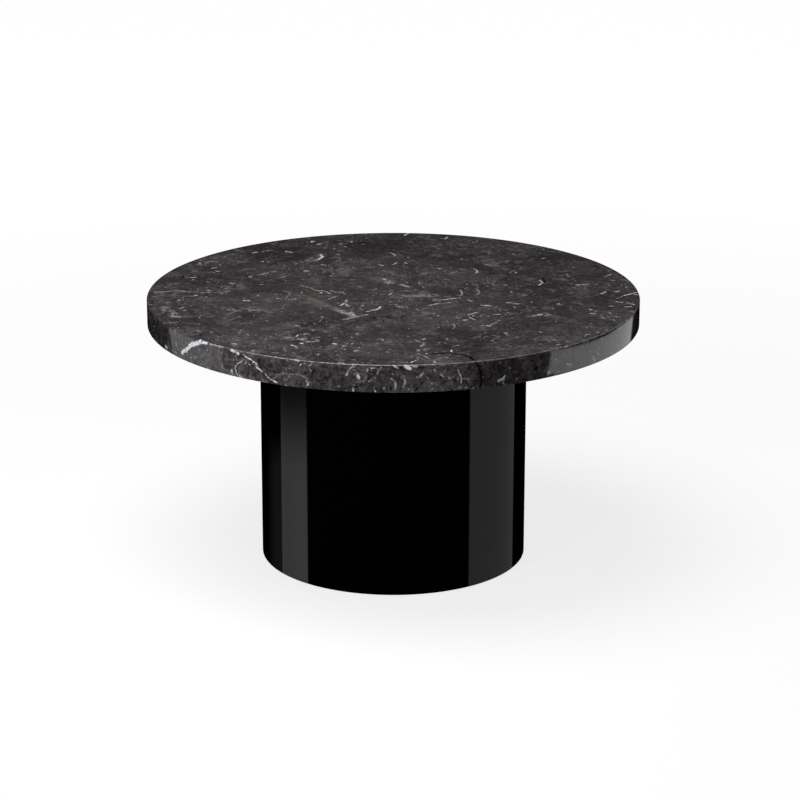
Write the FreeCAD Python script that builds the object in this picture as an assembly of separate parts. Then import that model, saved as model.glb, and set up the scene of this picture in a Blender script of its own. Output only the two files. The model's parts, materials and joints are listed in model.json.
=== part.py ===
import FreeCAD
import Part

import math
import os

# Round stone-topped drum table. Millimetres, +Z up, origin on the floor at the table's axis.
# The side shown to the viewer is -Y. The glides are stored fully screwed in.

# Overall sizes
TABLE_HEIGHT = 305.0
TOP_DIAMETER = 550.0
TOP_THICKNESS = 30.0
DRUM_DIAMETER = 300.0

# Stone top
TOP_ARRIS_RADIUS = 1.5

# Rolled drum
DRUM_WALL = 3.0
DRUM_EDGE_EASE = 0.8
DRUM_FLOOR_GAP = 2.0
DRUM_TOP_REVEAL = 0.5
SEAM_ANGLE = 90.0
SEAM_WIDTH = 6.0
SEAM_HEIGHT = 1.4
SEAM_END_GAP = 4.0

# Flat rings welded inside the drum
RING_WALL_CLEARANCE = 0.2
FLANGE_THICKNESS = 5.0
FLANGE_WIDTH = 52.0
BOTTOM_RING_THICKNESS = 5.0
BOTTOM_RING_WIDTH = 46.8
RING_EDGE_EASE = 0.5

# Stitch welds of the rings
WELD_COUNT = 8
WELD_START_ANGLE = 22.5
WELD_LENGTH = 30.0
WELD_LEG = 3.5
WELD_CROWN = 0.5
WELD_CLEARANCE = 0.05

# Gasket between steel and stone
GASKET_THICKNESS = 2.0
GASKET_INSET = 3.0

# Screws, washers and inserts that hold the stone down
SCREW_COUNT = 4
SCREW_START_ANGLE = 0.0
SCREW_DIAMETER = 6.0
SCREW_LENGTH = 20.0
SCREW_TIP_CHAMFER = 0.8
SCREW_HEAD_DIAMETER = 10.5
SCREW_HEAD_HEIGHT = 3.3
SCREW_HEAD_EDGE = 0.8
SCREW_CROWN_SHARE = 0.25
SCREW_SOCKET_FLATS = 4.0
SCREW_SOCKET_DEPTH = 2.2
THREAD_CLEARANCE = 0.05
SCREW_HOLE_CLEARANCE = 1.0
WASHER_DIAMETER = 18.0
WASHER_THICKNESS = 1.6
WASHER_CLEARANCE = 0.2
INSERT_DIAMETER = 10.0
INSERT_LENGTH = 14.0
INSERT_GROOVES = 3
INSERT_GROOVE_DEPTH = 0.6
INSERT_GROOVE_WIDTH = 2.0
INSERT_GLUE_GAP = 0.1
INSERT_GLUE_DEPTH = 1.5

# Levelling glides
FOOT_COUNT = 4
FOOT_START_ANGLE = 45.0
FOOT_DIAMETER = 34.0
FOOT_EDGE_HEIGHT = 3.0
FOOT_BOSS_DIAMETER = 18.0
FOOT_WEB = 2.0
FOOT_NECK_LENGTH = 3.5
SOLE_DIAMETER = 28.0
SOLE_THICKNESS = 2.0
SOLE_PROUD = 1.0
SOLE_CLEARANCE = 0.3
SOLE_EDGE_EASE = 0.4
PIVOT_PIN_DIAMETER = 7.0
PIVOT_FLANGE_DIAMETER = 11.0
PIVOT_FLANGE_THICKNESS = 2.0
PIVOT_FLANGE_CLEARANCE = 0.3
PIVOT_PLAY = 0.1
PIVOT_CLEARANCE = 0.05
STUD_DIAMETER = 8.0
STUD_LENGTH = 30.0
STUD_TIP_CHAMFER = 1.0
STUD_HOLE_CLEARANCE = 0.6
COLLAR_FLATS = 14.0
COLLAR_HEIGHT = 5.0
COLLAR_FOOT_GAP = 0.3
COLLAR_RING_GAP = 1.0
NUT_FLATS = 14.0
NUT_HEIGHT = 6.5
HEX_CORNER_EASE = 0.6

# Cuts run this far past the faces that they open
OVERRUN = 1.0

# Heights of the stack, from the stone down
stone_low = TABLE_HEIGHT - TOP_THICKNESS
gasket_low = stone_low - GASKET_THICKNESS
flange_low = gasket_low - FLANGE_THICKNESS
washer_low = flange_low - WASHER_THICKNESS
drum_high = stone_low - DRUM_TOP_REVEAL

# Heights of the glides, from the floor up
cavity_low = SOLE_THICKNESS + FOOT_WEB
pivot_low = cavity_low + PIVOT_PLAY
pivot_high = pivot_low + PIVOT_FLANGE_THICKNESS
cavity_high = pivot_high + PIVOT_PLAY
foot_high = cavity_high + FOOT_NECK_LENGTH
collar_low = foot_high + COLLAR_FOOT_GAP
collar_high = collar_low + COLLAR_HEIGHT
ring_low = collar_high + COLLAR_RING_GAP
ring_high = ring_low + BOTTOM_RING_THICKNESS
nut_high = ring_high + NUT_HEIGHT
stud_high = collar_high + STUD_LENGTH

# Radii that the pieces share
drum_radius = DRUM_DIAMETER / 2
bore_radius = drum_radius - DRUM_WALL
ring_radius = bore_radius - RING_WALL_CLEARANCE
flange_bore_radius = ring_radius - FLANGE_WIDTH
bottom_bore_radius = ring_radius - BOTTOM_RING_WIDTH
screw_circle_radius = (ring_radius + flange_bore_radius) / 2
foot_circle_radius = (ring_radius + bottom_bore_radius) / 2
screw_shank_radius = SCREW_DIAMETER / 2 - THREAD_CLEARANCE
screw_hole_radius = SCREW_DIAMETER / 2 + SCREW_HOLE_CLEARANCE
insert_radius = INSERT_DIAMETER / 2
stud_shank_radius = STUD_DIAMETER / 2 - THREAD_CLEARANCE
stud_hole_radius = STUD_DIAMETER / 2 + STUD_HOLE_CLEARANCE

AXIS = FreeCAD.Vector(0, 0, 1)
CENTRE = FreeCAD.Vector(0, 0, 0)


def profile_point(radius, height):
    """A point of a turned piece's half section."""
    return FreeCAD.Vector(radius, 0, height)


def polar_point(radius, degrees, height):
    """A point at a radius and an angle round the table's axis."""
    angle = math.radians(degrees)
    return FreeCAD.Vector(radius * math.cos(angle), radius * math.sin(angle), height)


def pattern_angles(count, start):
    """Even steps round the axis, in degrees."""
    return [start + 360.0 * step / count for step in range(count)]


def line(start, end):
    return Part.LineSegment(start, end).toShape()


def arc(start, middle, end):
    return Part.Arc(start, middle, end).toShape()


def turned(edges, degrees=360.0):
    """A solid of revolution from the edges of a closed half section."""
    face = Part.Face(Part.Wire(edges))
    return face.revolve(CENTRE, AXIS, degrees)


def turned_points(outline):
    """A solid of revolution from (radius, height) corners."""
    corners = [profile_point(radius, height) for radius, height in outline]
    return turned(Part.makePolygon(corners + corners[:1]).Edges)


def tube(outer, inner, low, high):
    """A plain round ring."""
    return turned_points([(inner, low), (outer, low), (outer, high), (inner, high)])


def eased_tube(outer, inner, low, high, ease):
    """A round ring with all four rims chamfered."""
    outline = [
        (inner + ease, low),
        (outer - ease, low),
        (outer, low + ease),
        (outer, high - ease),
        (outer - ease, high),
        (inner + ease, high),
        (inner, high - ease),
        (inner, low + ease),
    ]
    return turned_points(outline)


def upright_cylinder(radius, low, high, centre=CENTRE):
    base = FreeCAD.Vector(centre.x, centre.y, low)
    return Part.makeCylinder(radius, high - low, base)


def hexagon(flats, low, high):
    """A plain hexagonal prism, measured across its flats."""
    corner_radius = flats / 2 / math.cos(math.pi / 6)
    corners = [polar_point(corner_radius, angle, low) for angle in pattern_angles(6, 0)]
    face = Part.Face(Part.makePolygon(corners + corners[:1]))
    return face.extrude(AXIS * (high - low))


def eased_hexagon(flats, low, high):
    """A hexagonal prism whose corners are turned off at both ends."""
    flat_radius = flats / 2
    corner_radius = flat_radius / math.cos(math.pi / 6)
    drop = HEX_CORNER_EASE
    envelope = [
        (0, low),
        (flat_radius, low),
        (corner_radius, low + drop),
        (corner_radius, high - drop),
        (flat_radius, high),
        (0, high),
    ]
    return hexagon(flats, low, high).common(turned_points(envelope))


def placed(shape, radius, degrees):
    """A copy of a piece modelled on the axis, moved out to a circle and turned to face it."""
    copy = shape.copy()
    copy.translate(FreeCAD.Vector(radius, 0, 0))
    copy.rotate(CENTRE, AXIS, degrees)
    return copy


def drilled(plate, hole_radius, circle_radius, angles, low, high):
    """A plate with a round hole at each angle of a circle."""
    for angle in angles:
        centre = polar_point(circle_radius, angle, 0)
        plate = plate.cut(upright_cylinder(hole_radius, low, high, centre))
    return plate


def save(node, pieces):
    """Write one sub-part, a single solid or a set of separate like solids."""
    solids = [solid for piece in pieces for solid in piece.Solids]
    shape = solids[0] if len(solids) == 1 else Part.makeCompound(solids)
    shape.exportStep(f"parts/{node}.step")


def tabletop():
    """The stone disc with rounded arrises and blind holes for its inserts."""
    outer = TOP_DIAMETER / 2
    ease = TOP_ARRIS_RADIUS
    inset = ease * (1 - math.sqrt(0.5))
    low_start = profile_point(outer - ease, stone_low)
    low_middle = profile_point(outer - inset, stone_low + inset)
    low_end = profile_point(outer, stone_low + ease)
    high_start = profile_point(outer, TABLE_HEIGHT - ease)
    high_middle = profile_point(outer - inset, TABLE_HEIGHT - inset)
    high_end = profile_point(outer - ease, TABLE_HEIGHT)
    centre_low = profile_point(0, stone_low)
    centre_high = profile_point(0, TABLE_HEIGHT)
    disc = turned([
        line(centre_low, low_start),
        arc(low_start, low_middle, low_end),
        line(low_end, high_start),
        arc(high_start, high_middle, high_end),
        line(high_end, centre_high),
        line(centre_high, centre_low),
    ])
    hole_low = stone_low - OVERRUN
    hole_high = stone_low + INSERT_LENGTH + INSERT_GLUE_DEPTH
    hole_radius = insert_radius + INSERT_GLUE_GAP
    angles = pattern_angles(SCREW_COUNT, SCREW_START_ANGLE)
    return drilled(disc, hole_radius, screw_circle_radius, angles, hole_low, hole_high)


def drum_shell():
    """The rolled sheet cylinder, its cut rims eased."""
    return eased_tube(drum_radius, bore_radius, DRUM_FLOOR_GAP, drum_high, DRUM_EDGE_EASE)


def seam_weld():
    """The crowned bead along the inside of the rolled seam, between the two rings."""
    low = ring_high + SEAM_END_GAP
    high = flange_low - SEAM_END_GAP
    wall = bore_radius - WELD_CLEARANCE
    half_angle = math.degrees(SEAM_WIDTH / 2 / wall)
    start = polar_point(wall, SEAM_ANGLE - half_angle, low)
    end = polar_point(wall, SEAM_ANGLE + half_angle, low)
    crown = polar_point(wall - SEAM_HEIGHT, SEAM_ANGLE, low)
    back = polar_point(wall, SEAM_ANGLE, low)
    section = Part.Face(Part.Wire([arc(start, crown, end), arc(end, back, start)]))
    return section.extrude(AXIS * (high - low))


def top_flange():
    """The flat ring that carries the stone, drilled for its screws."""
    ring = eased_tube(ring_radius, flange_bore_radius, flange_low, gasket_low, RING_EDGE_EASE)
    angles = pattern_angles(SCREW_COUNT, SCREW_START_ANGLE)
    low = flange_low - OVERRUN
    high = gasket_low + OVERRUN
    return drilled(ring, screw_hole_radius, screw_circle_radius, angles, low, high)


def bottom_ring():
    """The flat ring that carries the glides, drilled for their studs."""
    ring = eased_tube(ring_radius, bottom_bore_radius, ring_low, ring_high, RING_EDGE_EASE)
    angles = pattern_angles(FOOT_COUNT, FOOT_START_ANGLE)
    low = ring_low - OVERRUN
    high = ring_high + OVERRUN
    return drilled(ring, stud_hole_radius, foot_circle_radius, angles, low, high)


def stitch_welds(face_height):
    """Short crowned fillet welds in the corner between the drum and a ring's lower face."""
    wall = bore_radius - WELD_CLEARANCE
    toe = bore_radius - WELD_LEG
    foot = face_height - WELD_LEG
    middle = profile_point((wall + toe) / 2 - WELD_CROWN, (face_height + foot) / 2 - WELD_CROWN)
    corner = profile_point(wall, face_height)
    wall_point = profile_point(wall, foot)
    ring_point = profile_point(toe, face_height)
    arc_degrees = math.degrees(WELD_LENGTH / bore_radius)
    section = [
        line(corner, wall_point),
        arc(wall_point, middle, ring_point),
        line(ring_point, corner),
    ]
    bead = turned(section, arc_degrees)
    angles = pattern_angles(WELD_COUNT, WELD_START_ANGLE - arc_degrees / 2)
    return [placed(bead, 0, angle) for angle in angles]


def rubber_gasket():
    """The flat ring that beds the stone on the flange."""
    outer = ring_radius - GASKET_INSET
    inner = flange_bore_radius + GASKET_INSET
    ring = tube(outer, inner, gasket_low, stone_low)
    angles = pattern_angles(SCREW_COUNT, SCREW_START_ANGLE)
    low = gasket_low - OVERRUN
    high = stone_low + OVERRUN
    return drilled(ring, screw_hole_radius, screw_circle_radius, angles, low, high)


def stone_insert():
    """A brass threaded sleeve with glue grooves round it, flush with the stone's underside."""
    bore = SCREW_DIAMETER / 2
    high = stone_low + INSERT_LENGTH
    sleeve = tube(insert_radius, bore, stone_low, high)
    land = (INSERT_LENGTH - INSERT_GROOVES * INSERT_GROOVE_WIDTH) / (INSERT_GROOVES + 1)
    waist = insert_radius - INSERT_GROOVE_DEPTH
    for groove in range(INSERT_GROOVES):
        low = stone_low + land + groove * (land + INSERT_GROOVE_WIDTH)
        ring = tube(insert_radius + OVERRUN, waist, low, low + INSERT_GROOVE_WIDTH)
        sleeve = sleeve.cut(ring)
    return sleeve


def top_washer():
    """A wide flat washer under the flange."""
    return tube(WASHER_DIAMETER / 2, SCREW_DIAMETER / 2 + WASHER_CLEARANCE, washer_low, flange_low)


def top_screw():
    """A button-head screw, head down, with a hexagon socket."""
    head_radius = SCREW_HEAD_DIAMETER / 2
    head_low = washer_low - SCREW_HEAD_HEIGHT
    tip = washer_low + SCREW_LENGTH
    flat_radius = SCREW_SOCKET_FLATS / 2 / math.cos(math.pi / 6)
    crown_radius = (head_radius + flat_radius) / 2
    crown_height = head_low + (SCREW_HEAD_HEIGHT - SCREW_HEAD_EDGE) * SCREW_CROWN_SHARE
    centre_low = profile_point(0, head_low)
    flat_end = profile_point(flat_radius, head_low)
    crown = profile_point(crown_radius, crown_height)
    rim_low = profile_point(head_radius, washer_low - SCREW_HEAD_EDGE)
    rim_high = profile_point(head_radius, washer_low)
    neck = profile_point(screw_shank_radius, washer_low)
    shoulder = profile_point(screw_shank_radius, tip - SCREW_TIP_CHAMFER)
    point = profile_point(screw_shank_radius - SCREW_TIP_CHAMFER, tip)
    centre_high = profile_point(0, tip)
    blank = turned([
        line(centre_low, flat_end),
        arc(flat_end, crown, rim_low),
        line(rim_low, rim_high),
        line(rim_high, neck),
        line(neck, shoulder),
        line(shoulder, point),
        line(point, centre_high),
        line(centre_high, centre_low),
    ])
    socket = hexagon(SCREW_SOCKET_FLATS, head_low - OVERRUN, head_low + SCREW_SOCKET_DEPTH)
    return blank.cut(socket)


def leveller_nut():
    """A hexagon weld nut standing on the bottom ring."""
    blank = eased_hexagon(NUT_FLATS, ring_high, nut_high)
    return blank.cut(upright_cylinder(STUD_DIAMETER / 2, ring_high - OVERRUN, nut_high + OVERRUN))


def foot():
    """The nylon glide: a sloped disc with a sole recess and a captive pivot cavity."""
    outer = FOOT_DIAMETER / 2
    boss = FOOT_BOSS_DIAMETER / 2
    recess = SOLE_DIAMETER / 2 + SOLE_CLEARANCE
    cavity = PIVOT_FLANGE_DIAMETER / 2 + PIVOT_FLANGE_CLEARANCE
    neck = PIVOT_PIN_DIAMETER / 2 + PIVOT_CLEARANCE
    body = turned_points([
        (0, SOLE_PROUD),
        (outer, SOLE_PROUD),
        (outer, SOLE_PROUD + FOOT_EDGE_HEIGHT),
        (boss, cavity_high),
        (boss, foot_high),
        (0, foot_high),
    ])
    body = body.cut(upright_cylinder(recess, SOLE_PROUD - OVERRUN, SOLE_THICKNESS))
    body = body.cut(upright_cylinder(cavity, cavity_low, cavity_high))
    return body.cut(upright_cylinder(neck, cavity_high - PIVOT_PLAY, foot_high + OVERRUN))


def foot_sole():
    """The felt disc glued in the glide's recess, standing proud of it."""
    outer = SOLE_DIAMETER / 2
    return turned_points([
        (0, 0),
        (outer - SOLE_EDGE_EASE, 0),
        (outer, SOLE_EDGE_EASE),
        (outer, SOLE_THICKNESS),
        (0, SOLE_THICKNESS),
    ])


def foot_stud():
    """The glide's screw: thread, hexagon collar, and a pin with a flange caught in the foot."""
    pin_radius = PIVOT_PIN_DIAMETER / 2
    thread = turned_points([
        (0, collar_high),
        (stud_shank_radius, collar_high),
        (stud_shank_radius, stud_high - STUD_TIP_CHAMFER),
        (stud_shank_radius - STUD_TIP_CHAMFER, stud_high),
        (0, stud_high),
    ])
    pin = turned_points([
        (0, pivot_low),
        (PIVOT_FLANGE_DIAMETER / 2, pivot_low),
        (PIVOT_FLANGE_DIAMETER / 2, pivot_high),
        (pin_radius, pivot_high),
        (pin_radius, collar_low),
        (0, collar_low),
    ])
    collar = eased_hexagon(COLLAR_FLATS, collar_low, collar_high)
    return collar.fuse([thread, pin]).removeSplitter()


def main():
    os.makedirs("parts", exist_ok=True)
    screw_angles = pattern_angles(SCREW_COUNT, SCREW_START_ANGLE)
    foot_angles = pattern_angles(FOOT_COUNT, FOOT_START_ANGLE)

    save("tabletop", [tabletop()])
    save("rubber_gasket", [rubber_gasket()])
    save("drum_shell", [drum_shell()])
    save("seam_weld", [seam_weld()])
    save("top_flange", [top_flange()])
    save("flange_welds", stitch_welds(flange_low))
    save("bottom_ring", [bottom_ring()])
    save("ring_welds", stitch_welds(ring_low))

    fasteners = {
        "stone_inserts": stone_insert(),
        "top_washers": top_washer(),
        "top_screws": top_screw(),
    }
    for node, piece in fasteners.items():
        save(node, [placed(piece, screw_circle_radius, angle) for angle in screw_angles])

    nut = leveller_nut()
    save("leveller_nuts", [placed(nut, foot_circle_radius, angle) for angle in foot_angles])

    glide = {"foot": foot(), "foot_sole": foot_sole(), "foot_stud": foot_stud()}
    for number, angle in enumerate(foot_angles, start=1):
        for name, piece in glide.items():
            save(f"{name}_{number}", [placed(piece, foot_circle_radius, angle)])


main()
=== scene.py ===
import json
import math

import bmesh
import bpy
from mathutils import Matrix, Vector


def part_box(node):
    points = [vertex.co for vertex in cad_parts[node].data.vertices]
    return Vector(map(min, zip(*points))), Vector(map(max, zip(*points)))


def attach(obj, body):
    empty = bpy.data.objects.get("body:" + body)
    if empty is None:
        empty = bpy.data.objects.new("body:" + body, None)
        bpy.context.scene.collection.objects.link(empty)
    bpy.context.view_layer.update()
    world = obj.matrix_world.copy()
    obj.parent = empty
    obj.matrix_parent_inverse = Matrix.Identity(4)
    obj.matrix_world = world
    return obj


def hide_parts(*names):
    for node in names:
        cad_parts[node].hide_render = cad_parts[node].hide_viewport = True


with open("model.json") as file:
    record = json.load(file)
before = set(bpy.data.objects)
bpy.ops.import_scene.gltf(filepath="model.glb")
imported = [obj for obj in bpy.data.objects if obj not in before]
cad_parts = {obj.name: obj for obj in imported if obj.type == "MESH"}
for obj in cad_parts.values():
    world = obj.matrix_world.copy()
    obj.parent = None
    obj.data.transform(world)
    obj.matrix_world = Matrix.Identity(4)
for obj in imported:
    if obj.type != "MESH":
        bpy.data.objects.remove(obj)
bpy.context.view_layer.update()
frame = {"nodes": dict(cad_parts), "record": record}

# Sizes of the table in metres, the rest is read from the frame
TOP_RADIUS = 0.275
TOP_ARRIS_RADIUS = 0.0015
DRUM_RADIUS = 0.150
DRUM_WALL = 0.003
DRUM_EDGE_EASE = 0.0008
LATHE_STEPS = 288
ARRIS_STEPS = 6
EASE_STEPS = 3
LATHE_SHARP_ANGLE = math.radians(10)

# Stitch welds of the two rings and the bead in the drum's seam
WELD_CLEARANCE = 0.00005
WELD_LEG = 0.0035
WELD_CROWN = 0.0005
STITCH_COUNT = 8
STITCH_LENGTH = 0.030
STITCH_START = math.radians(22.5)
RIPPLE_PITCH = 0.0022
RIPPLE_DEPTH = 0.22
POINTS_PER_RIPPLE = 6
BEAD_END_SHARE = 0.4
BEAD_TAPER_RATE = 8.0
SEAM_SECTION_SHARES = ((-0.5, 0.0), (-0.25, -1.0), (0.25, -1.0), (0.5, 0.0))
WELD_SHARP_ANGLE = math.radians(60)

# Glide studs: an M8 thread, a hexagon collar and a pin with a flange
THREAD_PITCH = 0.00125
THREAD_ROOT_RADIUS = 0.0033
THREAD_DEPTH = 0.00062
COLLAR_CORNER_RADIUS = 0.007 / math.cos(math.pi / 6)
COLLAR_EASED_RADIUS = 0.0072
COLLAR_HEIGHTS = (0.010, 0.015)
PIN_RADIUS = 0.0035
PIVOT_RADIUS = 0.0055
PIVOT_HEIGHTS = (0.0041, 0.0061)
GLIDE_COUNT = 4
HEXAGON_SIDES = 6
ROUND_STEPS = 48
CONE_STEPS = 96
THREAD_STEPS = 32
THREAD_RIDGE_CORNERS = 4
STUD_SHARP_ANGLE = math.radians(30)

# Camera that sees the table as the photograph does
PHOTO_PIXELS = 800
FOCAL_PIXELS = 2814.5
SENSOR_WIDTH = 36.0
CAMERA_DISTANCE = 3.0358
CAMERA_HEIGHT = 1.1477
CAMERA_PITCH = math.radians(17.684)
CAMERA_YAW = math.radians(0.142)
CAMERA_ROLL = math.radians(0.064)

# Share of white that the surround throws on the table
WORLD_LIGHT = 0.17

# Heights between which a light panel dims, and the share of its light that is left
UNDIMMED = (0.4, 0.5, 1.0)

# The floor, whose glow grows with the distance from the table in metres
WHITE = (1, 1, 1, 1)
FLOOR_RADIUS = 30.0
FLOOR_STEPS = 96
FLOOR_GREY = (0.25, 0.25, 0.25, 1)
FLOOR_GLOW_REACH = (0.3, 2.2)
FLOOR_GLOW = (0.80, 0.95)

# Millimetres in a metre, for the lines drawn in the marble
MILLIMETRES = 1000

# Height of the stone's face in metres
FACE_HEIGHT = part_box("tabletop")[1][2]

# Middle value of a noise's colour
NOISE_MIDDLE = (0.5, 0.5, 0.5)

# Grains of the marble: how ragged they are, and how few of them are fully pale
GRAIN_RAGGED_SCALE = 2.4
GRAIN_RAGGED_REACH = 0.30
PALENESS_POWER = 2.4

# How far a grain pushes the smaller ones aside in metres
GIVE_WAY = (0.0004, 0.0003, 0.0005)

# Flecks and shells: the least and the spread of their sizes, as shares of the radius
FLECK_SIZE_LEAST = 0.35
FLECK_SIZE_SPREAD = 0.9
FLECK_CORE = 0.55
SHELL_SIZE_LEAST = 0.4
SHELL_OPENING_LEAST = 0.35
SHELL_OPENING_SPREAD = 0.5
SHELL_TAPER = 0.35
SHELL_TIP_SHARE = 0.15
SHELL_CORE = 0.45

# Ghosts of coiled shells: width of a ring, the side that shows, and where the rings start to fade
GHOST_LINE = (0.05, 0.30)
GHOST_SIDE = (-0.2, 0.5)
GHOST_FADE_SHARE = 0.7

# Veins: how their patches lie beside the lines, how fine they are and how softly they end
VEIN_PATCH_SHIFT = (3.7, 1.9, 5.3)
VEIN_PATCH_SCALE = 1.7
VEIN_PATCH_SOFTNESS = 0.12

# Drawn strokes: the share of the half width that is full, and how softly a broken one ends
STROKE_CORE_SHARE = 0.2
STROKE_BREAK_SOFTNESS = 0.12

# Noises in the marble, in waves per metre
PATCH_SCALE = 16.0
WAVY_SCALE = 160.0
RAGGED_SCALE = 520.0
DRIFT_SCALE = 55.0
BREAK_SCALE = 130.0
GRIT_SCALE = 330.0
CLOUD_SCALE = 11.0
SMOKE_SCALE = 40.0
MOTTLE_SCALE = 150.0
TINT_SCALE = 30.0

# How far they push the pattern about in metres
WAVY_REACH = 0.003
STROKE_RAGGED_REACH = 0.0012
STONE_RAGGED_REACH = 0.0022
DRIFT_REACH = 0.006

# Range of each noise that is used, and what it runs from and to
PATCH_RANGE = (0.36, 0.66, 0.15, 1.5)
GRIT_RANGE = (0.36, 0.60, 0.35, 1.35)
CLOUD_RANGE = (0.34, 0.66)
SMOKE_RANGE = (0.50, 0.78, 0.0, 0.8)
TINT_RANGE = (0.45, 0.70)
GLOSS_RANGE = (0.3, 0.8, 0.07, 0.13)

# Lacquer: its colour, the scale of its orange peel and of the haze in its gloss
LACQUER_BLACK = (0.0006, 0.0006, 0.0007, 1)
PEEL_SCALE = 260.0
HAZE_SCALE = 14.0
HAZE_RANGE = (0.3, 0.7, 0.035, 0.06)
PEEL_BUMP = 0.02

# Coated finishes: how far their tone and their gloss drift, and how strong the grain is
TONE_RANGE = (0.3, 0.7)
GRAIN_RANGE = (0.2, 0.8)
ROUGHNESS_DRIFT = 0.08
GRAIN_BUMP = 0.15

# Depth of a grain in metres
BUMP_DEPTH = 0.0002

# Mottling of the edge and the face: its contrast, its mean level and the darkest that it goes
EDGE_CONTRAST = 7.0
FACE_CONTRAST = 3.3
MOTTLE_LEVEL = 1.1
MOTTLE_DARKEST = 0.15

# Small chips on the edge as a multiple of those on the face
EDGE_CHIPS = 1.8

# Depth below the face over which the edge's look turns into the face's, in metres
FACE_BLEND = (0.0020, 0.0008)

# Painted shade along the back arris: its distance in from the edge, how far back it starts, and its share
# of the colour
BACK_ARRIS_SHADE_INSET = (0.0050, 0.0025)
BACK_ARRIS_SHADE_START = (0.03, 0.12)
BACK_ARRIS_SHADE_SHARE = 0.2

# Painted highlight along the arris: its distances from the edge and the face, the side it is on, its start
# and its strength
ARRIS_HIGHLIGHT_INSET = (0.0013, 0.0007)
ARRIS_HIGHLIGHT_DEPTH = (0.0012, 0.0007)
ARRIS_HIGHLIGHT_SIDE = (0.35, -0.94, 0.0)
ARRIS_HIGHLIGHT_START = (0.11, 0.16)
ARRIS_HIGHLIGHT_STRENGTH = 0.15

# Colours of the marble, linear
MARBLE_DEEP = (0.034, 0.029, 0.031, 1)
MARBLE_BROWN = (0.062, 0.054, 0.055, 1)
MARBLE_SMOKE = (0.145, 0.136, 0.135, 1)
FOSSIL_WHITE = (0.78, 0.81, 0.86, 1)
FOSSIL_CREAM = (0.68, 0.64, 0.59, 1)
STYLOLITE_BLACK = (0.004, 0.004, 0.005, 1)


class Nodes:
    """Adds nodes to one tree, and links or sets what they are given."""

    def __init__(self, tree):
        self.tree = tree

    def feed(self, socket, value):
        if isinstance(value, bpy.types.NodeSocket):
            self.tree.links.new(value, socket)
        else:
            socket.default_value = value

    def add(self, kind, inputs=None, **settings):
        node = self.tree.nodes.new(kind)
        for key, value in settings.items():
            setattr(node, key, value)
        for key, value in (inputs or {}).items():
            self.feed(node.inputs[key], value)
        return node

    def math(self, operation, first, second=0.0, third=0.0):
        inputs = {0: first, 1: second, 2: third}
        return self.add("ShaderNodeMath", inputs, operation=operation).outputs[0]

    def within_one(self, value):
        """The value, held between zero and one."""
        return self.add("ShaderNodeClamp", {"Value": value}).outputs[0]

    def vector(self, operation, first, second=(0.0, 0.0, 0.0)):
        node = self.add("ShaderNodeVectorMath", {0: first, 1: second}, operation=operation)
        one_number = operation in ("DOT_PRODUCT", "LENGTH", "DISTANCE")
        return node.outputs["Value" if one_number else "Vector"]

    def scaled(self, vector, factor):
        node = self.add("ShaderNodeVectorMath", {0: vector, "Scale": factor}, operation="SCALE")
        return node.outputs["Vector"]

    def ramp(self, value, low, high, start=0.0, end=1.0):
        """Runs smoothly from start to end as the value goes from low to high."""
        inputs = {"Value": value, "From Min": low, "From Max": high, "To Min": start, "To Max": end}
        node = self.add("ShaderNodeMapRange", inputs, interpolation_type="SMOOTHSTEP", clamp=False)
        return node.outputs[0]

    def mix(self, factor, first, second):
        inputs = {"Factor": factor, 6: first, 7: second}
        return self.add("ShaderNodeMix", inputs, data_type="RGBA").outputs[2]

    def noise(self, place, scale, detail=2.0, roughness=0.5):
        inputs = {"Vector": place, "Scale": scale, "Detail": detail, "Roughness": roughness}
        return self.add("ShaderNodeTexNoise", inputs)

    def stirred(self, place, scale, reach):
        """The place, pushed about by a noise by up to half the reach."""
        push = self.vector("SUBTRACT", self.noise(place, scale).outputs["Color"], NOISE_MIDDLE)
        return self.vector("ADD", place, self.scaled(push, reach))

    def bump(self, height, strength):
        """The normal of a surface that a fine grain raises."""
        inputs = {"Strength": strength, "Distance": BUMP_DEPTH, "Height": height}
        return self.add("ShaderNodeBump", inputs).outputs[0]

    def along_axes(self, x=0.0, y=0.0, z=0.0):
        """A vector from its three parts."""
        return self.add("ShaderNodeCombineXYZ", {"X": x, "Y": y, "Z": z}).outputs[0]

    def object_place(self):
        return self.add("ShaderNodeTexCoord").outputs["Object"]


def shader_group(name, inputs):
    """An empty shader group with float and vector inputs and one mask out."""
    tree = bpy.data.node_groups.new(name, "ShaderNodeTree")
    for label, kind in inputs.items():
        tree.interface.new_socket(label, in_out="INPUT", socket_type=kind)
    tree.interface.new_socket("Mask", in_out="OUTPUT", socket_type="NodeSocketFloat")
    nodes = Nodes(tree)
    return nodes, nodes.add("NodeGroupInput").outputs, nodes.add("NodeGroupOutput").inputs


def new_material(name):
    """A material with its nodes and its main shader."""
    material = bpy.data.materials.new(name)
    material.use_nodes = True
    nodes = Nodes(material.node_tree)
    return material, nodes, material.node_tree.nodes["Principled BSDF"]


CELL_INPUTS = {
    "Place": "NodeSocketVector",
    "Grains per metre": "NodeSocketFloat",
    "Shift": "NodeSocketVector",
    "Share": "NodeSocketFloat",
    "Radius": "NodeSocketFloat",
    "Thickness": "NodeSocketFloat",
}


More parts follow.
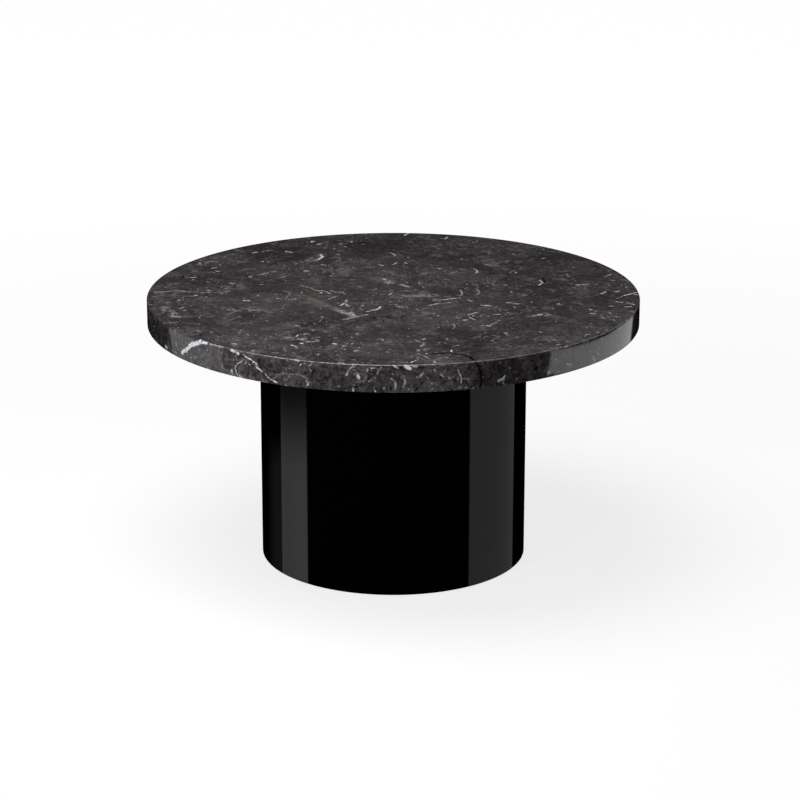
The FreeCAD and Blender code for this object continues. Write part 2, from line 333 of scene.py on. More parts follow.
def scattered_grains(nodes, given):
    """Ragged random grains: the offset from the nearest, its direction and chances, and its paleness."""
    place = nodes.vector("ADD", nodes.scaled(given["Place"], given["Grains per metre"]), given["Shift"])
    place = nodes.stirred(place, GRAIN_RAGGED_SCALE, GRAIN_RAGGED_REACH)
    cell = nodes.add("ShaderNodeTexVoronoi", {"Vector": place, "Scale": 1.0}, feature="F1")
    centre = cell.outputs["Position"]
    aim = nodes.vector("SUBTRACT", cell.outputs["Color"], NOISE_MIDDLE)
    chance = nodes.add("ShaderNodeTexWhiteNoise", {"Vector": centre}, noise_dimensions="3D")
    chances = nodes.add("ShaderNodeSeparateColor", {"Color": chance.outputs["Color"]}).outputs
    spare = nodes.math("SUBTRACT", 1.0, nodes.math("DIVIDE", chances["Green"], given["Share"]))
    return {
        "offset": nodes.vector("SUBTRACT", place, centre),
        "direction": nodes.vector("NORMALIZE", aim),
        "size": chances["Red"],
        "opening": chances["Blue"],
        "paleness": nodes.math("POWER", nodes.math("MAXIMUM", spare, 0.0), PALENESS_POWER),
    }


def fleck_group():
    """Flat flecks: thin ragged discs turned at random, in some of the grains."""
    nodes, given, out = shader_group("flat_flecks", CELL_INPUTS)
    grain = scattered_grains(nodes, given)
    share = nodes.math("MULTIPLY_ADD", grain["size"], FLECK_SIZE_SPREAD, FLECK_SIZE_LEAST)
    size = nodes.math("MULTIPLY", given["Radius"], share)
    along = nodes.vector("DOT_PRODUCT", grain["offset"], grain["direction"])
    squeeze = nodes.math("DIVIDE", given["Radius"], given["Thickness"])
    stretch = nodes.scaled(grain["direction"], nodes.math("MULTIPLY", along, squeeze))
    flat = nodes.vector("ADD", grain["offset"], stretch)
    distance = nodes.math("DIVIDE", nodes.vector("LENGTH", flat), size)
    disc = nodes.ramp(distance, FLECK_CORE, 1.0, 1.0, 0.0)
    nodes.feed(out["Mask"], nodes.math("MULTIPLY", disc, grain["paleness"]))
    return nodes.tree


def shell_group():
    """Broken curved shells: a tapering part of a thin sphere in some of the grains."""
    nodes, given, out = shader_group("shell_fragments", CELL_INPUTS)
    grain = scattered_grains(nodes, given)
    offset = grain["offset"]
    size = nodes.math("MULTIPLY", given["Radius"], nodes.math("ADD", grain["size"], SHELL_SIZE_LEAST))
    facing = nodes.vector("DOT_PRODUCT", nodes.vector("NORMALIZE", offset), grain["direction"])
    opening = nodes.math("MULTIPLY_ADD", grain["opening"], SHELL_OPENING_SPREAD, SHELL_OPENING_LEAST)
    taper = nodes.ramp(facing, opening, nodes.math("ADD", opening, SHELL_TAPER))
    share = nodes.math("MULTIPLY_ADD", taper, 1.0 - SHELL_TIP_SHARE, SHELL_TIP_SHARE)
    wall = nodes.math("MULTIPLY", given["Thickness"], share)
    depth = nodes.math("ABSOLUTE", nodes.math("SUBTRACT", nodes.vector("LENGTH", offset), size))
    skin = nodes.ramp(nodes.math("DIVIDE", depth, wall), SHELL_CORE, 1.0, 1.0, 0.0)
    tapered = nodes.math("MULTIPLY", skin, taper)
    nodes.feed(out["Mask"], nodes.math("MULTIPLY", tapered, grain["paleness"]))
    return nodes.tree


def ring_group():
    """Ghosts of large coiled shells: faint rings inside one another in some of the grains."""
    nodes, given, out = shader_group("shell_ghosts", CELL_INPUTS)
    grain = scattered_grains(nodes, given)
    distance = nodes.vector("LENGTH", grain["offset"])
    turns = nodes.math("FRACT", nodes.math("DIVIDE", distance, given["Thickness"]))
    from_middle = nodes.math("ABSOLUTE", nodes.math("SUBTRACT", turns, 0.5))
    line = nodes.ramp(from_middle, *GHOST_LINE, 1.0, 0.0)
    facing = nodes.vector("DOT_PRODUCT", nodes.vector("NORMALIZE", grain["offset"]), grain["direction"])
    side = nodes.ramp(facing, *GHOST_SIDE)
    fade = nodes.math("MULTIPLY", given["Radius"], GHOST_FADE_SHARE)
    inside = nodes.ramp(distance, fade, given["Radius"], 1.0, 0.0)
    rings = nodes.math("MULTIPLY", line, inside)
    shown = nodes.math("MULTIPLY", side, grain["paleness"])
    nodes.feed(out["Mask"], nodes.math("MULTIPLY", rings, shown))
    return nodes.tree


def vein_group():
    """Thin wandering sheets: where a noise crosses its middle value, kept in patches."""
    inputs = {
        "Place": "NodeSocketVector",
        "Waves per metre": "NodeSocketFloat",
        "Width": "NodeSocketFloat",
        "Patch": "NodeSocketFloat",
    }
    nodes, given, out = shader_group("wandering_veins", inputs)
    wave = nodes.noise(given["Place"], given["Waves per metre"], 3.0, 0.55).outputs[0]
    ridge = nodes.math("ABSOLUTE", nodes.math("SUBTRACT", wave, 0.5))
    line = nodes.ramp(ridge, 0.0, given["Width"], 1.0, 0.0)
    moved = nodes.vector("ADD", given["Place"], VEIN_PATCH_SHIFT)
    finer = nodes.math("MULTIPLY", given["Waves per metre"], VEIN_PATCH_SCALE)
    patch = nodes.noise(moved, finer).outputs[0]
    kept = nodes.ramp(patch, given["Patch"], nodes.math("ADD", given["Patch"], VEIN_PATCH_SOFTNESS))
    nodes.feed(out["Mask"], nodes.math("MULTIPLY", line, kept))
    return nodes.tree


def stroke_group():
    """One straight run of a fossil or a hairline, full in its core and gone at its half width."""
    inputs = {
        "Place": "NodeSocketVector",
        "Start": "NodeSocketVector",
        "Run": "NodeSocketVector",
        "Run per square": "NodeSocketVector",
        "Half width": "NodeSocketFloat",
        "Strength": "NodeSocketFloat",
    }
    nodes, given, out = shader_group("drawn_run", inputs)
    reach = nodes.vector("SUBTRACT", given["Place"], given["Start"])
    share = nodes.within_one(nodes.vector("DOT_PRODUCT", reach, given["Run per square"]))
    away = nodes.vector("DISTANCE", reach, nodes.scaled(given["Run"], share))
    core = nodes.math("MULTIPLY", given["Half width"], STROKE_CORE_SHARE)
    nodes.feed(out["Mask"], nodes.ramp(away, core, given["Half width"], given["Strength"], 0.0))
    return nodes.tree


def edge(degrees, height):
    """A point on the stone's edge in millimetres, at an angle from the front towards the right."""
    angle = math.radians(degrees)
    radius = TOP_RADIUS * MILLIMETRES
    return Vector((radius * math.sin(angle), -radius * math.cos(angle), height))


def face(x, y):
    """A point on the stone's face in millimetres."""
    return Vector((x, y, FACE_HEIGHT * MILLIMETRES))


def smoky_bands():
    """Soft pale bands and ghosts of shells.

    Each has its strength, its half width in millimetres, how broken it is, and the points of its line.
    """
    return [
        (0.8, 8.0, 0.36, face(-104, -8), face(-78, -42), face(-61, -69), face(-43, -95)),
        (0.9, 3.0, 0.30, face(-183, -90), face(-172, -73), face(-153, -57), face(-132, -80)),
        (0.9, 2.5, 0.30, face(-178, -110), face(-166, -93)),
        (0.9, 3.0, 0.30, face(-243, -90), face(-229, -97), face(-220, -93)),
        (0.9, 3.5, 0.30, face(-246, -118), face(-233, -117)),
        (0.6, 14.0, 0.40, face(103, 155), face(125, 105)),
        (0.7, 10.0, 0.38, face(12, -12), face(45, -8)),
        (0.5, 12.0, 0.38, face(-260, -8), face(-200, -24)),
        (0.5, 10.0, 0.40, face(-120, -130), face(-70, -150)),
        (0.5, 12.0, 0.40, face(150, -70), face(190, -110)),
        (0.9, 1.4, 0.30, face(-96, 111), face(-67, 96), face(-36, 111), face(-11, 115)),
        (0.4, 1.0, 0.00, face(-7, -147), face(14, -227)),
        (0.8, 1.6, 0.00, edge(-27, 281), edge(-25, 288), edge(-21, 290), edge(-19, 286)),
        (0.9, 1.2, 0.00, edge(-49, 291), edge(-47.5, 288), edge(-46, 292)),
    ]


def fossil_strokes():
    """The white fossils that stand out most, in the same form."""
    return [
        # The edge, from left to right
        (1.40, 2.4, 0.00, edge(-63.4, 280), edge(-62.6, 279)),
        (1.50, 2.8, 0.00, edge(-55, 283), edge(-51, 296)),
        (1.60, 3.4, 0.00, edge(-52, 294), edge(-48, 303)),
        (1.20, 2.2, 0.00, edge(-49, 302), edge(-45.5, 304)),
        (0.60, 1.1, 0.00, edge(-44.5, 304), edge(-40.5, 304.5)),
        (1.10, 2.1, 0.00, edge(-38, 303.5), edge(-36, 301.5)),
        (0.70, 1.2, 0.40, edge(-35, 302.5), edge(-34, 300), edge(-31.5, 295)),
        (0.50, 2.0, 0.00, edge(-31.2, 294), edge(-31, 290)),
        (0.75, 1.3, 0.38, edge(-31, 290), edge(-29.5, 286.5), edge(-28, 281), edge(-25, 275.5)),
        (0.60, 1.0, 0.00, edge(-35, 294.5), edge(-36.5, 289), edge(-37, 285), edge(-36.5, 278)),
        (0.60, 1.6, 0.00, edge(-21.5, 305), edge(-21, 304)),
        (0.50, 1.2, 0.34, edge(-8, 305), edge(-9, 301), edge(-9.7, 296.5), edge(-10, 292.5)),
        (0.60, 2.2, 0.00, edge(-7.8, 294.5), edge(-7.6, 291)),
        (0.50, 1.4, 0.00, edge(-8.7, 279), edge(-8.6, 275.5)),
        (0.40, 0.8, 0.00, edge(-2.5, 303.5), edge(-3.6, 295)),
        (0.50, 1.0, 0.00, edge(-4.3, 280), edge(-3.7, 275.5)),
        (0.45, 1.3, 0.00, edge(-0.4, 290.5), edge(0.3, 287.5), edge(0.5, 284), edge(0.4, 279.5)),
        (0.35, 1.8, 0.34, edge(2.1, 293), edge(2.5, 288), edge(2.2, 282)),
        (0.60, 1.4, 0.00, edge(0.1, 303.7), edge(1, 302)),
        (1.50, 2.6, 0.00, edge(2.5, 304), edge(3.6, 301)),
        (0.40, 1.3, 0.00, edge(6.5, 296), edge(5.6, 292.5)),
        (0.60, 1.1, 0.30, edge(14, 299), edge(14.6, 291), edge(14.8, 283.5)),
        (1.30, 2.2, 0.00, edge(23.3, 281), edge(24, 282)),
        (0.40, 1.3, 0.00, edge(43, 285.5), edge(42.9, 281)),
        (0.60, 1.5, 0.00, edge(40.8, 304.5), edge(41.8, 304.8)),
        # The front of the face
        (0.75, 1.3, 0.38, face(26, -234), face(35, -248)),
        (0.75, 1.2, 0.38, face(40, -265), face(48, -267)),
        (0.70, 1.2, 0.38, face(18, -265), face(25, -256)),
        (1.05, 2.4, 0.38, face(-66, -197), face(-59, -199)),
        (0.70, 1.6, 0.38, face(-91, -191), face(-79, -188)),
        (0.75, 1.3, 0.38, face(-103, -172), face(-101, -164), face(-90, -162)),
        (0.65, 1.6, 0.38, face(-98, -182), face(-91, -178)),
        (0.65, 1.8, 0.42, face(-107, -203), face(-101, -211)),
        (0.85, 2.4, 0.00, face(101, -130), face(103, -131)),
        (0.25, 2.0, 0.30, face(95, -129), face(102, -130), face(111, -117)),
        (0.55, 1.4, 0.38, face(23, -185), face(33, -197)),
        (0.30, 1.5, 0.00, face(65, -124), face(66, -133), face(64, -142)),
        (0.75, 2.2, 0.00, face(77, -108), face(80, -108)),
        (0.70, 1.6, 0.38, face(194, -172), face(199, -172)),
        # The middle of the face
        (0.55, 2.4, 0.00, face(-58, -50), face(-54, -40), face(-49, -53)),
        (0.50, 2.2, 0.00, face(-53, -33), face(-52, -27)),
        (0.35, 3.2, 0.32, face(-56, -77), face(-47, -85), face(-46, -75)),
        (0.35, 3.0, 0.32, face(-46, -78), face(-41, -95), face(-53, -106)),
        (0.45, 1.6, 0.34, face(-39, -94), face(-28, -86)),
        (0.72, 1.8, 0.00, face(-29, -75), face(-23, -69), face(-18, -67), face(-14, -55)),
        (0.35, 1.6, 0.00, face(-105, 34), face(-93, 22), face(-87, 12)),
        (0.60, 1.5, 0.00, face(-87, 12), face(-77, 10), face(-70, -2)),
        (0.50, 1.5, 0.00, face(-70, 11), face(-65, 5), face(-58, 5), face(-53, -3)),
        (0.50, 1.6, 0.00, face(-72, -23), face(-65, -14)),
        (0.35, 1.8, 0.00, face(44, -27), face(56, -27)),
        (0.65, 1.8, 0.00, face(56, -27), face(68, -20), face(74, -20)),
        (0.85, 1.7, 0.00, face(39, -50), face(48, -43)),
        (0.55, 1.5, 0.00, face(48, -43), face(63, -38)),
        (0.38, 1.5, 0.00, face(74, -12), face(77, -4), face(76, 8), face(75, 15)),
        (0.35, 1.5, 0.00, face(93, 20), face(96, 12), face(94, 9), face(97, 3), face(93, -4)),
        (0.60, 1.6, 0.00, face(83, -28), face(87, -33)),
        (0.55, 2.0, 0.42, face(4, -52), face(10, -59)),
        (0.75, 1.5, 0.30, face(125, -38), face(138, -43)),
        (0.90, 2.6, 0.00, face(158, -88), face(161, -87)),
        (0.50, 1.9, 0.00, face(82, -87), face(91, -78)),
        (0.42, 1.7, 0.00, face(83, -97), face(88, -107)),
        (0.60, 1.6, 0.30, face(109, -86), face(117, -84)),
        (0.75, 1.8, 0.30, face(97, -48), face(107, -51)),
        (0.70, 1.0, 0.32, face(-266, 4), face(-241, 11), face(-227, 4)),
        (0.65, 1.0, 0.36, face(-216, 3), face(-188, 4)),
        (0.70, 1.2, 0.38, face(-188, 4), face(-182, 15)),
        (0.90, 1.7, 0.38, face(-224, -12), face(-219, -9)),
        (0.85, 2.2, 0.38, face(-238, -29), face(-235, -29)),
        (1.10, 2.8, 0.00, face(-165, -30), face(-161, -30)),
        (0.65, 1.2, 0.38, face(-235, -64), face(-230, -57)),
        (0.85, 1.6, 0.00, face(247, -34), face(254, -37)),
        (0.75, 1.5, 0.00, face(258, -38), face(266, -46)),
        (0.70, 1.7, 0.00, face(254, -55), face(262, -54)),
        (0.35, 1.3, 0.00, face(248, -22), face(258, -8)),
        (0.95, 1.9, 0.00, face(258, -8), face(273, 5)),
        (1.00, 2.4, 0.00, face(233, 0), face(237, 6)),
        (0.65, 1.9, 0.00, face(249, 8), face(253, 8)),
        (0.65, 1.8, 0.00, face(215, -81), face(221, -81)),
        (0.55, 1.6, 0.00, face(238, -52), face(242, -53)),
        # The back of the face
        (0.60, 2.2, 0.00, face(207, 36), face(221, 39)),
        (0.55, 1.5, 0.00, face(243, 75), face(249, 81)),
        (0.55, 1.9, 0.00, face(247, 57), face(252, 55)),
        (1.00, 1.5, 0.38, face(167, 56), face(169, 45), face(165, 35)),
        (0.65, 1.5, 0.00, face(93, 107), face(97, 93), face(95, 87)),
        (0.85, 1.5, 0.38, face(-3, 122), face(4, 133)),
        (0.70, 1.8, 0.38, face(-3, 179), face(2, 168)),
        (0.55, 1.9, 0.00, face(-11, 61), face(-9, 57)),
        (0.50, 1.9, 0.00, face(-8, 44), face(-6, 41)),
        (0.42, 1.6, 0.00, face(-5, -6), face(-1, 2)),
        (0.55, 2.6, 0.34, face(8, 38), face(17, 28)),
        (0.55, 2.0, 0.00, face(-102, 145), face(-96, 140), face(-88, 147)),
        (0.95, 2.4, 0.00, face(-88, 147), face(-83, 160), face(-86, 171)),
        (0.85, 2.6, 0.38, face(-102, 96), face(-98, 96)),
        (0.75, 1.3, 0.42, face(-165, 69), face(-154, 79), face(-134, 95)),
        (0.75, 2.0, 0.38, face(-184, 42), face(-180, 42)),
        (0.75, 1.6, 0.42, face(-237, 65), face(-226, 68)),
        (0.65, 1.8, 0.38, face(-219, 135), face(-211, 139)),
        (0.90, 2.4, 0.38, face(-209, 109), face(-206, 110)),
        (0.70, 2.0, 0.38, face(-168, 178), face(-161, 181)),
        (0.75, 2.2, 0.42, face(-127, 185), face(-117, 178)),
        (0.75, 2.2, 0.38, face(-154, 137), face(-152, 138)),
        (1.20, 2.2, 0.00, face(14, 262), face(19, 274)),
        (0.85, 2.0, 0.38, face(62, 243), face(66, 254)),
        # Pale smudges
        (0.17, 9.0, 0.44, face(12, -12), face(45, -8)),
        (0.15, 7.0, 0.44, face(-60, -66), face(-43, -94)),
        (0.25, 7.0, 0.44, face(-10, 62), face(-4, 42)),
        (0.25, 8.0, 0.44, face(-178, -66), face(-150, -72)),
        (0.22, 9.0, 0.44, face(-252, -58), face(-236, -94)),
        (0.12, 8.0, 0.44, face(-104, 140), face(-84, 170)),
        (0.22, 8.0, 0.44, face(150, -92), face(172, -84)),
        (0.22, 8.0, 0.44, face(-110, -178), face(-84, -186)),
    ]


def black_hairlines():
    """The black hairlines and dashes that stand out most, in the same form."""
    return [
        (1.0, 3.0, 0.00, face(36, -235), face(58, -231), face(70, -237), face(77, -243), face(83, -255)),
        (1.0, 2.0, 0.00, edge(18, 305), edge(18.5, 300), edge(19.1, 292), edge(19.4, 284),
         edge(19.1, 276)),
        (0.8, 1.4, 0.00, edge(15, 290), edge(16, 282), edge(17.3, 277)),
        (0.8, 2.1, 0.30, face(-145, 120), face(-132, 139), face(-117, 151)),
        (0.8, 2.7, 0.00, face(-158, 4), face(-152, 6)),
        (0.8, 2.4, 0.30, face(-57, 226), face(-30, 226)),
        (0.7, 2.2, 0.30, face(-42, 96), face(-24, 96)),
        (0.8, 3.0, 0.00, face(151, 47), face(158, 47)),
        (0.8, 2.0, 0.00, face(170, 67), face(172, 45)),
        (0.8, 3.0, 0.00, face(188, 85), face(203, 89)),
        (0.8, 3.0, 0.00, face(234, 119), face(237, 113)),
        (0.7, 2.4, 0.00, face(-93, 160), face(-88, 162)),
        (0.7, 2.4, 0.00, face(83, -94), face(91, -104)),
        (0.7, 2.7, 0.00, face(86, -204), face(94, -206)),
    ]


def dark_fossil_marble():
    """Charcoal brown stone with clouds, dust, broken shells, flecks, pale veins and black hairlines, with
    painted shade along the back arris and a painted highlight along the front arris.
    """
    material, nodes, shader = new_material("dark_fossil_marble")
    flecks, shells, rings = fleck_group(), shell_group(), ring_group()
    veins, runs = vein_group(), stroke_group()
    place = nodes.object_place()
    patchy = nodes.ramp(nodes.noise(place, PATCH_SCALE).outputs[0], *PATCH_RANGE)
    wavy = nodes.stirred(place, WAVY_SCALE, WAVY_REACH)
    ragged = nodes.stirred(wavy, RAGGED_SCALE, STROKE_RAGGED_REACH)
    stone = nodes.stirred(wavy, RAGGED_SCALE, STONE_RAGGED_REACH)
    stone = nodes.stirred(stone, DRIFT_SCALE, DRIFT_REACH)
    breaks = nodes.noise(place, BREAK_SCALE, 2.0, 0.6).outputs[0]
    grit = nodes.ramp(nodes.noise(place, GRIT_SCALE, 3.0).outputs[0], *GRIT_RANGE)

    def grains(stone, tree, count, share, radius, thickness, shift):
        inputs = {
            "Place": stone,
            "Grains per metre": count,
            "Shift": (shift, shift * 1.7, shift * 0.6),
            "Share": nodes.math("MULTIPLY", patchy, share),
            "Radius": radius,
            "Thickness": thickness,
        }
        return nodes.add("ShaderNodeGroup", inputs, node_tree=tree).outputs[0]

    def vein(stone, tree, count, width, patch):
        inputs = {"Place": stone, "Waves per metre": count, "Width": width, "Patch": patch}
        return nodes.add("ShaderNodeGroup", inputs, node_tree=tree).outputs[0]

    def layered(stone, layers):
        """The largest of the layers, where each one gives way a little to those before it."""
        result = 0.0
        for make, strength, *values in layers:
            mask = make(stone, *values)
            stone = nodes.vector("ADD", stone, nodes.scaled(GIVE_WAY, mask))
            result = nodes.math("MAXIMUM", result, nodes.math("MULTIPLY", mask, strength))
        return result, stone

    def drawn(lines, grain):
        """The largest of the drawn lines, made run by run and then broken up by a grain."""
        result = 0.0
        for strength, half_width, gaps, *points in lines:
            for start, end in zip(points, points[1:]):
                run = (end - start) / MILLIMETRES
                inputs = {
                    "Place": ragged,
                    "Start": start / MILLIMETRES,
                    "Run": run,
                    "Run per square": run / run.length_squared,
                    "Half width": half_width / MILLIMETRES,
                    "Strength": strength,
                }
                mask = nodes.add("ShaderNodeGroup", inputs, node_tree=runs).outputs[0]
                if gaps:
                    kept = nodes.ramp(breaks, gaps, gaps + STROKE_BREAK_SOFTNESS)
                    mask = nodes.math("MULTIPLY", mask, kept)
                result = nodes.math("MAXIMUM", result, mask)
        return nodes.math("MULTIPLY", result, grain)

    def just_below(value, limit, depths):
        """Runs from zero to one between two depths below a limit."""
        start, end = depths
        return nodes.ramp(value, limit - start, limit - end)

    cloud = nodes.noise(stone, CLOUD_SCALE, 5.0, 0.6).outputs[0]
    smoke = nodes.noise(stone, SMOKE_SCALE, 6.0, 0.7).outputs[0]
    ground = nodes.mix(nodes.ramp(cloud, *CLOUD_RANGE), MARBLE_DEEP, MARBLE_BROWN)
    ground = nodes.mix(nodes.ramp(smoke, *SMOKE_RANGE), ground, MARBLE_SMOKE)
    mottle = nodes.noise(place, MOTTLE_SCALE, 5.0, 0.85).outputs[0]
    height = nodes.add("ShaderNodeSeparateXYZ", {0: place}).outputs["Z"]
    on_face = just_below(height, FACE_HEIGHT, FACE_BLEND)
    contrast = nodes.ramp(on_face, 0.0, 1.0, EDGE_CONTRAST, FACE_CONTRAST)
    mottled = nodes.math("MULTIPLY_ADD", nodes.math("SUBTRACT", mottle, 0.5), contrast, MOTTLE_LEVEL)
    ground = nodes.scaled(ground, nodes.math("MAXIMUM", mottled, MOTTLE_DARKEST))
    # Painted shade: a dark line darkens the arris and a narrow band of the face inside it at the back
    radius = nodes.vector("LENGTH", nodes.vector("MULTIPLY", place, (1.0, 1.0, 0.0)))
    backward = nodes.vector("DOT_PRODUCT", place, (0.0, 1.0, 0.0))
    inside = just_below(radius, TOP_RADIUS, BACK_ARRIS_SHADE_INSET)
    line = nodes.math("MULTIPLY", inside, on_face)
    line = nodes.math("MULTIPLY", line, nodes.ramp(backward, *BACK_ARRIS_SHADE_START))
    ground = nodes.scaled(ground, nodes.ramp(line, 0.0, 1.0, 1.0, BACK_ARRIS_SHADE_SHARE))

    # Each layer's maker, strength and kind, then its grains per metre, their share, radius, thickness
    # and shift, or for a vein its waves per metre, width and patch
    faint, stone = layered(stone, [
        (grains, 0.9, rings, 17.0, 1.30, 0.48, 0.075, 31.0),
        (grains, 0.9, rings, 33.0, 1.10, 0.45, 0.11, 37.0),
        (grains, 1.0, shells, 30.0, 1.20, 0.32, 0.060, 43.0),
        (grains, 1.0, flecks, 42.0, 0.90, 0.36, 0.16, 47.0),
        (vein, 0.8, veins, 9.0, 0.008, 0.48),
        (vein, 0.8, veins, 21.0, 0.014, 0.50),
    ])
    faint = nodes.math("MAXIMUM", faint, drawn(smoky_bands(), grit))
    colour = nodes.mix(faint, ground, MARBLE_SMOKE)

    pale, stone = layered(stone, [
        (grains, 0.22, flecks, 430.0, 0.80, 0.36, 0.22, 3.0),
        (grains, 0.38, flecks, 240.0, 0.70, 0.38, 0.20, 11.0),
        (grains, 0.55, flecks, 125.0, 0.65, 0.34, 0.16, 17.0),
        (grains, 0.78, flecks, 70.0, 0.55, 0.24, 0.15, 23.0),
        (grains, 0.70, shells, 62.0, 1.20, 0.34, 0.060, 2.0),
        (grains, 0.55, shells, 115.0, 1.10, 0.34, 0.090, 7.0),
    ])
    # The edge shows more of the small chips than the polished face does
    pale = nodes.math("MULTIPLY", pale, nodes.ramp(on_face, 0.0, 1.0, EDGE_CHIPS, 1.0))
    pale = nodes.math("MAXIMUM", pale, drawn(fossil_strokes(), grit))
    warmth = nodes.ramp(nodes.noise(place, TINT_SCALE).outputs[0], *TINT_RANGE)
    colour = nodes.mix(pale, colour, nodes.mix(warmth, FOSSIL_WHITE, FOSSIL_CREAM))

    black, _ = layered(stone, [
        (grains, 0.8, flecks, 55.0, 0.20, 0.26, 0.05, 57.0),
        (grains, 0.6, flecks, 150.0, 0.30, 0.30, 0.12, 61.0),
        (vein, 0.8, veins, 6.0, 0.0035, 0.56),
    ])
    black = nodes.math("MAXIMUM", black, drawn(black_hairlines(), 1.0))
    colour = nodes.mix(black, colour, STYLOLITE_BLACK)

    # Painted highlight: a pale line along the arris from the front to the right, broken up by the grit
    forward = nodes.vector("DOT_PRODUCT", place, ARRIS_HIGHLIGHT_SIDE)
    middle = just_below(radius, TOP_RADIUS, ARRIS_HIGHLIGHT_INSET)
    middle = nodes.math("MULTIPLY", middle, just_below(height, FACE_HEIGHT, ARRIS_HIGHLIGHT_DEPTH))
    arris_highlight = nodes.math("MULTIPLY", middle, nodes.ramp(forward, *ARRIS_HIGHLIGHT_START))
    arris_highlight = nodes.math("MULTIPLY", arris_highlight, grit)
    colour = nodes.mix(nodes.math("MULTIPLY", arris_highlight, ARRIS_HIGHLIGHT_STRENGTH), colour, FOSSIL_WHITE)

    nodes.feed(shader.inputs["Base Color"], colour)
    nodes.feed(shader.inputs["Roughness"], nodes.ramp(smoke, *GLOSS_RANGE))
    return material


def gloss_black_lacquer():
    """Jet black gloss lacquer with a trace of orange peel."""
    material, nodes, shader = new_material("gloss_black_lacquer")
    place = nodes.object_place()
    peel = nodes.noise(place, PEEL_SCALE, 1.0).outputs[0]
    haze = nodes.noise(place, HAZE_SCALE, 3.0).outputs[0]
    shader.inputs["Base Color"].default_value = LACQUER_BLACK
    nodes.feed(shader.inputs["Roughness"], nodes.ramp(haze, *HAZE_RANGE))
    nodes.feed(shader.inputs["Normal"], nodes.bump(peel, PEEL_BUMP))
    return material


def coated(name, low, high, roughness, scale, metallic=0.0):
    """A finish whose colour drifts between two tones, with a fine grain in its gloss."""
    material, nodes, shader = new_material(name)
    place = nodes.object_place()
    drift = nodes.noise(place, scale, 4.0, 0.6).outputs[0]
    nodes.feed(shader.inputs["Base Color"], nodes.mix(nodes.ramp(drift, *TONE_RANGE), low, high))
    shader.inputs["Metallic"].default_value = metallic
    glossiest = roughness - ROUGHNESS_DRIFT
    dullest = roughness + ROUGHNESS_DRIFT
    nodes.feed(shader.inputs["Roughness"], nodes.ramp(drift, *GRAIN_RANGE, glossiest, dullest))
    nodes.feed(shader.inputs["Normal"], nodes.bump(drift, GRAIN_BUMP))
    return material


def turned(name, outline):
    """A mesh turned about the table's axis from radius and height points, the first and last on it."""
    shape = bmesh.new()
    rings = []
    for radius, height in outline:
        if radius == 0:
            rings.append([shape.verts.new((0, 0, height))])
            continue
        angles = [math.tau * step / LATHE_STEPS for step in range(LATHE_STEPS)]
        points = [(radius * math.cos(a), radius * math.sin(a), height) for a in angles]
        rings.append([shape.verts.new(point) for point in points])
    for ring, upper in zip(rings, rings[1:]):
        for step in range(LATHE_STEPS):
            after = (step + 1) % LATHE_STEPS
            corners = [ring[step % len(ring)], ring[after % len(ring)]]
            corners += [upper[after % len(upper)], upper[step % len(upper)]]
            shape.faces.new(dict.fromkeys(corners))
    bmesh.ops.recalc_face_normals(shape, faces=shape.faces)
    mesh = bpy.data.meshes.new(name)
    shape.to_mesh(mesh)
    shape.free()
    mesh.shade_smooth()
    mesh.set_sharp_from_angle(angle=LATHE_SHARP_ANGLE)
    piece = bpy.data.objects.new(name, mesh)
    bpy.context.collection.objects.link(piece)
    return piece


def rounded(centre_radius, centre_height, start):
    """Points of a quarter round of the arris, from an angle in degrees."""
    steps = range(ARRIS_STEPS + 1)
    angles = [math.radians(start + 90 * step / ARRIS_STEPS) for step in steps]
    ease = TOP_ARRIS_RADIUS
    return [(centre_radius + ease * math.cos(a), centre_height + ease * math.sin(a)) for a in angles]


def stone_disc():
    """The marble top with rounded arrises."""
    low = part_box("tabletop")[0][2]
    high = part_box("tabletop")[1][2]
    inner = TOP_RADIUS - TOP_ARRIS_RADIUS
    outline = [(0, low)]
    outline += rounded(inner, low + TOP_ARRIS_RADIUS, -90)
    outline += rounded(inner, high - TOP_ARRIS_RADIUS, 0)
    outline += [(0, high)]
    piece = turned("stone_disc", outline)
    piece.data.materials.append(dark_fossil_marble())
    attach(piece, "table")
    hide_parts("tabletop")


def geometry_tree(name, inputs):
    """An empty geometry tree with named inputs and one geometry out."""
    tree = bpy.data.node_groups.new(name, "GeometryNodeTree")
    tree.interface.new_socket("Geometry", in_out="OUTPUT", socket_type="NodeSocketGeometry")
    for label, kind in inputs.items():
        tree.interface.new_socket(label, in_out="INPUT", socket_type=kind)
    nodes = Nodes(tree)
    return nodes, nodes.add("NodeGroupInput").outputs, nodes.add("NodeGroupOutput").inputs


def give_out(nodes, given, out, shape):
    """Ends a tree: its shape is made real and given its material."""
    real = nodes.add("GeometryNodeRealizeInstances", {0: shape}).outputs[0]
    inputs = {"Geometry": real, "Material": given["Material"]}
    nodes.feed(out[0], nodes.add("GeometryNodeSetMaterial", inputs).outputs[0])


def grown(name, tree, values, sharp_angle, node, body):
    """The plain mesh that a tree makes from its named inputs, in place of a CAD node."""
    piece = bpy.data.objects.new(name, bpy.data.meshes.new(name))
    modifier = piece.modifiers.new(name, "NODES")
    modifier.node_group = tree
    for item in tree.interface.items_tree:
        if item.in_out == "INPUT":
            modifier[item.identifier] = values[item.name]
    bpy.context.collection.objects.link(piece)
    depsgraph = bpy.context.evaluated_depsgraph_get()
    mesh = bpy.data.meshes.new_from_object(piece.evaluated_get(depsgraph))
    piece.modifiers.clear()
    piece.data = mesh
    # The mesh keeps one slot, without the empty one that joined primitives bring along
    mesh.materials.clear()
    mesh.materials.append(values["Material"])
    mesh.polygons.foreach_set("material_index", [0] * len(mesh.polygons))
    mesh.shade_smooth()
    mesh.set_sharp_from_angle(angle=sharp_angle)
    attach(piece, body)
    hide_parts(node)


